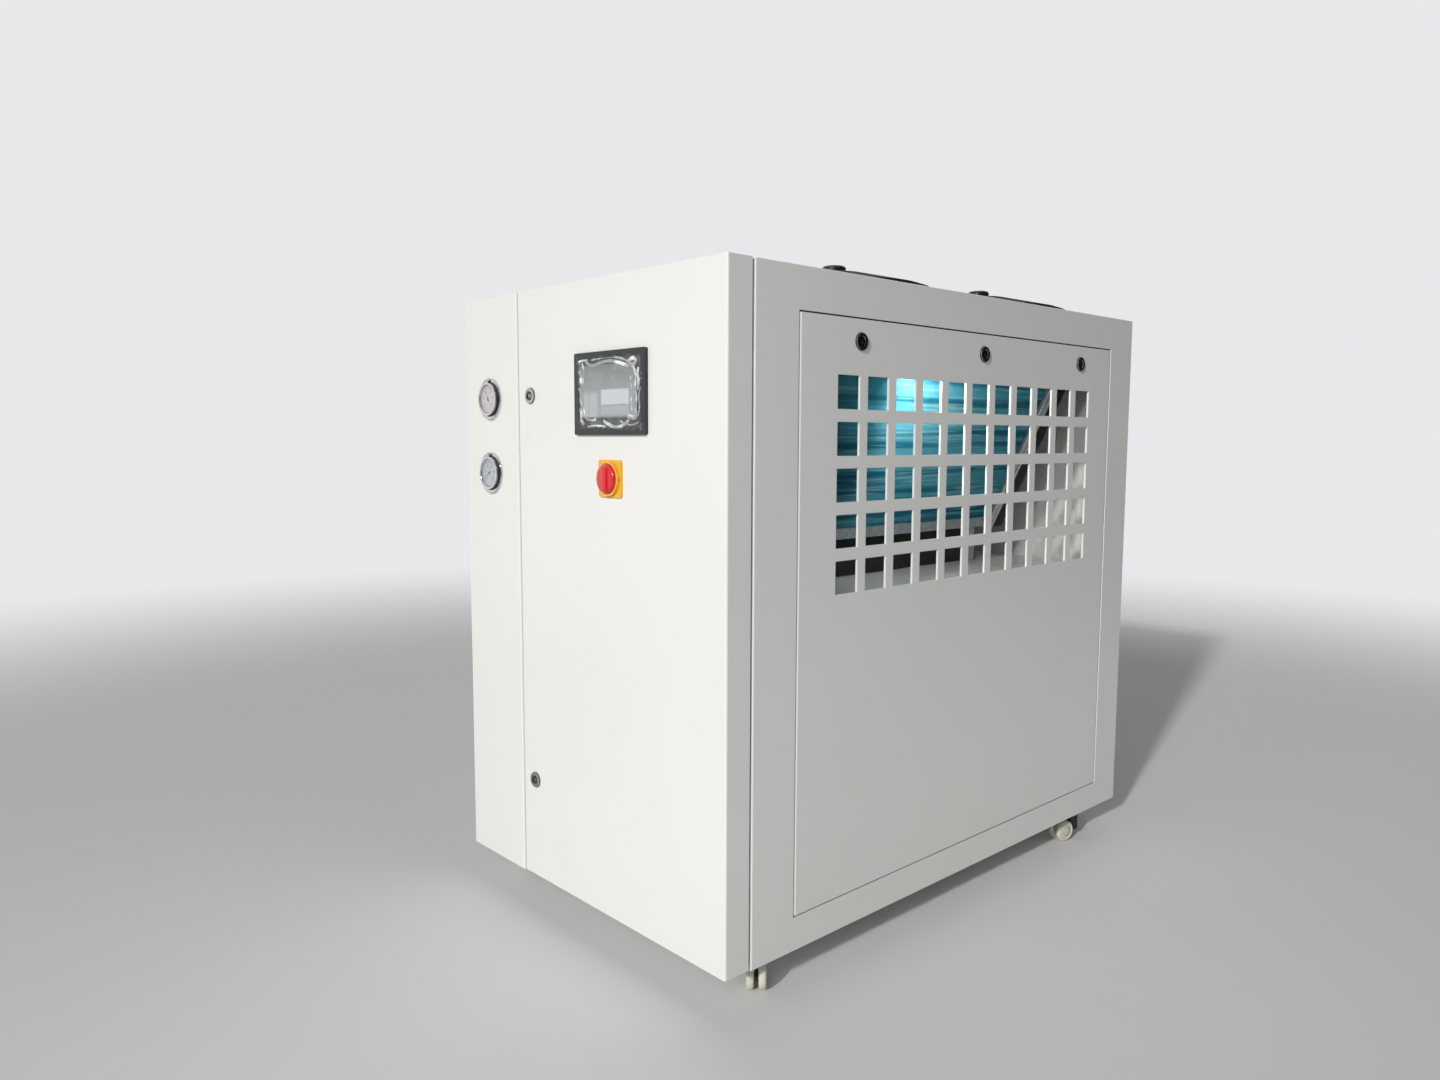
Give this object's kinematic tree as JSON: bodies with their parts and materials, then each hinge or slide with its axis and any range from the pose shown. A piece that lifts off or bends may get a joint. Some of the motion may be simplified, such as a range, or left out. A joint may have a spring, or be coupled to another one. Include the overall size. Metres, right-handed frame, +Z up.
{
  "type": "air-cooled water chiller",
  "caption": "Packaged air-cooled water chiller: sheet-metal cabinet with side grilles, V coils, roof fans, hinged control door and twin-wheel casters.",
  "frame": {"origin": "centre of the footprint, on the floor", "axes": "+Y to the rear, +X to the right seen from the front, +Z up"},
  "size_m": [0.828, 1.384, 1.306],
  "materials": {
    "cabinet_paint": "semi-gloss powder coat",
    "galvanised_sheet": "galvanised",
    "coil_fins": "coated fins",
    "lock_metal": "bright",
    "gauge_chrome": "polished",
    "screen_bezel": "satin",
    "isolator_yellow": "gloss",
    "isolator_red": "gloss",
    "socket_brass": "machined",
    "black_plastic": "satin",
    "guard_black": "powder coat",
    "fan_black": "satin",
    "wheel_nylon": "satin"
  },
  "bodies": {
    "cabinet": {"front_left_post": "cabinet_paint", "front_right_post": "cabinet_paint", "rear_left_post": "cabinet_paint", "rear_right_post": "cabinet_paint", "base_frame": "cabinet_paint", "top_rail_left": "cabinet_paint", "top_rail_right": "cabinet_paint", "roof_panel": "cabinet_paint", "side_grille_left": "cabinet_paint", "side_grille_right": "cabinet_paint", "rear_panel": "cabinet_paint", "gauge_panel": "cabinet_paint", "fan_throats": "cabinet_paint", "bulkhead": "galvanised_sheet", "deck": "galvanised_sheet", "coil_frame_left": "galvanised_sheet", "coil_frame_right": "galvanised_sheet", "caster_plates": "galvanised_sheet", "coil_left": "coil_fins", "coil_right": "coil_fins", "side_panel_locks": "lock_metal", "gauge_lower": "gauge_chrome", "gauge_upper": "gauge_chrome", "water_inlet": "socket_brass", "water_outlet": "socket_brass", "drain_socket": "socket_brass", "cable_gland": "black_plastic", "fan_guard_front_left": "guard_black", "fan_guard_front_right": "guard_black", "fan_guard_rear_left": "guard_black", "fan_guard_rear_right": "guard_black"},
    "door": {"front_door": "cabinet_paint", "control_screen": "screen_bezel", "isolator_plate": "isolator_yellow", "door_locks": "lock_metal"},
    "knob": {"isolator_knob": "isolator_red"},
    "fan_front_left": {"fan_front_left": "fan_black"},
    "fan_front_right": {"fan_front_right": "fan_black"},
    "fan_rear_left": {"fan_rear_left": "fan_black"},
    "fan_rear_right": {"fan_rear_right": "fan_black"},
    "swivel_front_left": {"caster_housing_front_left": "black_plastic"},
    "wheels_front_left": {"caster_wheels_front_left": "wheel_nylon"},
    "swivel_front_right": {"caster_housing_front_right": "black_plastic"},
    "wheels_front_right": {"caster_wheels_front_right": "wheel_nylon"},
    "swivel_rear_left": {"caster_housing_rear_left": "black_plastic"},
    "wheels_rear_left": {"caster_wheels_rear_left": "wheel_nylon"},
    "swivel_rear_right": {"caster_housing_rear_right": "black_plastic"},
    "wheels_rear_right": {"caster_wheels_rear_right": "wheel_nylon"}
  },
  "joints": [
    {"name": "door_hinge", "type": "hinge", "parent": "cabinet", "child": "door", "pos_m": [0.404, -0.6205, 0.66], "axis": [0, 0, 1], "range_deg": [0, 100]},
    {"name": "isolator_turn", "type": "hinge", "parent": "door", "child": "knob", "pos_m": [0.107, -0.6675, 0.8925], "axis": [0, -1, 0], "range_deg": [0, 90]},
    {"name": "fan_front_left_spin", "type": "hinge", "parent": "cabinet", "child": "fan_front_left", "pos_m": [-0.205, -0.188, 1.215], "axis": [0, 0, 1], "continuous": true},
    {"name": "fan_front_right_spin", "type": "hinge", "parent": "cabinet", "child": "fan_front_right", "pos_m": [0.205, -0.188, 1.215], "axis": [0, 0, 1], "continuous": true},
    {"name": "fan_rear_left_spin", "type": "hinge", "parent": "cabinet", "child": "fan_rear_left", "pos_m": [-0.205, 0.318, 1.215], "axis": [0, 0, 1], "continuous": true},
    {"name": "fan_rear_right_spin", "type": "hinge", "parent": "cabinet", "child": "fan_rear_right", "pos_m": [0.205, 0.318, 1.215], "axis": [0, 0, 1], "continuous": true},
    {"name": "caster_front_left_swivel", "type": "hinge", "parent": "cabinet", "child": "swivel_front_left", "pos_m": [-0.35, -0.5355, 0.06], "axis": [0, 0, 1], "continuous": true},
    {"name": "caster_front_left_roll", "type": "hinge", "parent": "swivel_front_left", "child": "wheels_front_left", "pos_m": [-0.36414, -0.54964, 0.025], "axis": [0.7071, -0.7071, 0], "continuous": true},
    {"name": "caster_front_right_swivel", "type": "hinge", "parent": "cabinet", "child": "swivel_front_right", "pos_m": [0.35, -0.5355, 0.06], "axis": [0, 0, 1], "continuous": true},
    {"name": "caster_front_right_roll", "type": "hinge", "parent": "swivel_front_right", "child": "wheels_front_right", "pos_m": [0.36414, -0.54964, 0.025], "axis": [0.7071, 0.7071, 0], "continuous": true},
    {"name": "caster_rear_left_swivel", "type": "hinge", "parent": "cabinet", "child": "swivel_rear_left", "pos_m": [-0.377, 0.497, 0.06], "axis": [0, 0, 1], "continuous": true},
    {"name": "caster_rear_left_roll", "type": "hinge", "parent": "swivel_rear_left", "child": "wheels_rear_left", "pos_m": [-0.37284, 0.47744, 0.025], "axis": [0.9781, 0.2079, 0], "continuous": true},
    {"name": "caster_rear_right_swivel", "type": "hinge", "parent": "cabinet", "child": "swivel_rear_right", "pos_m": [0.377, 0.497, 0.06], "axis": [0, 0, 1], "continuous": true},
    {"name": "caster_rear_right_roll", "type": "hinge", "parent": "swivel_rear_right", "child": "wheels_rear_right", "pos_m": [0.37284, 0.47744, 0.025], "axis": [0.9781, -0.2079, 0], "continuous": true}
  ]
}
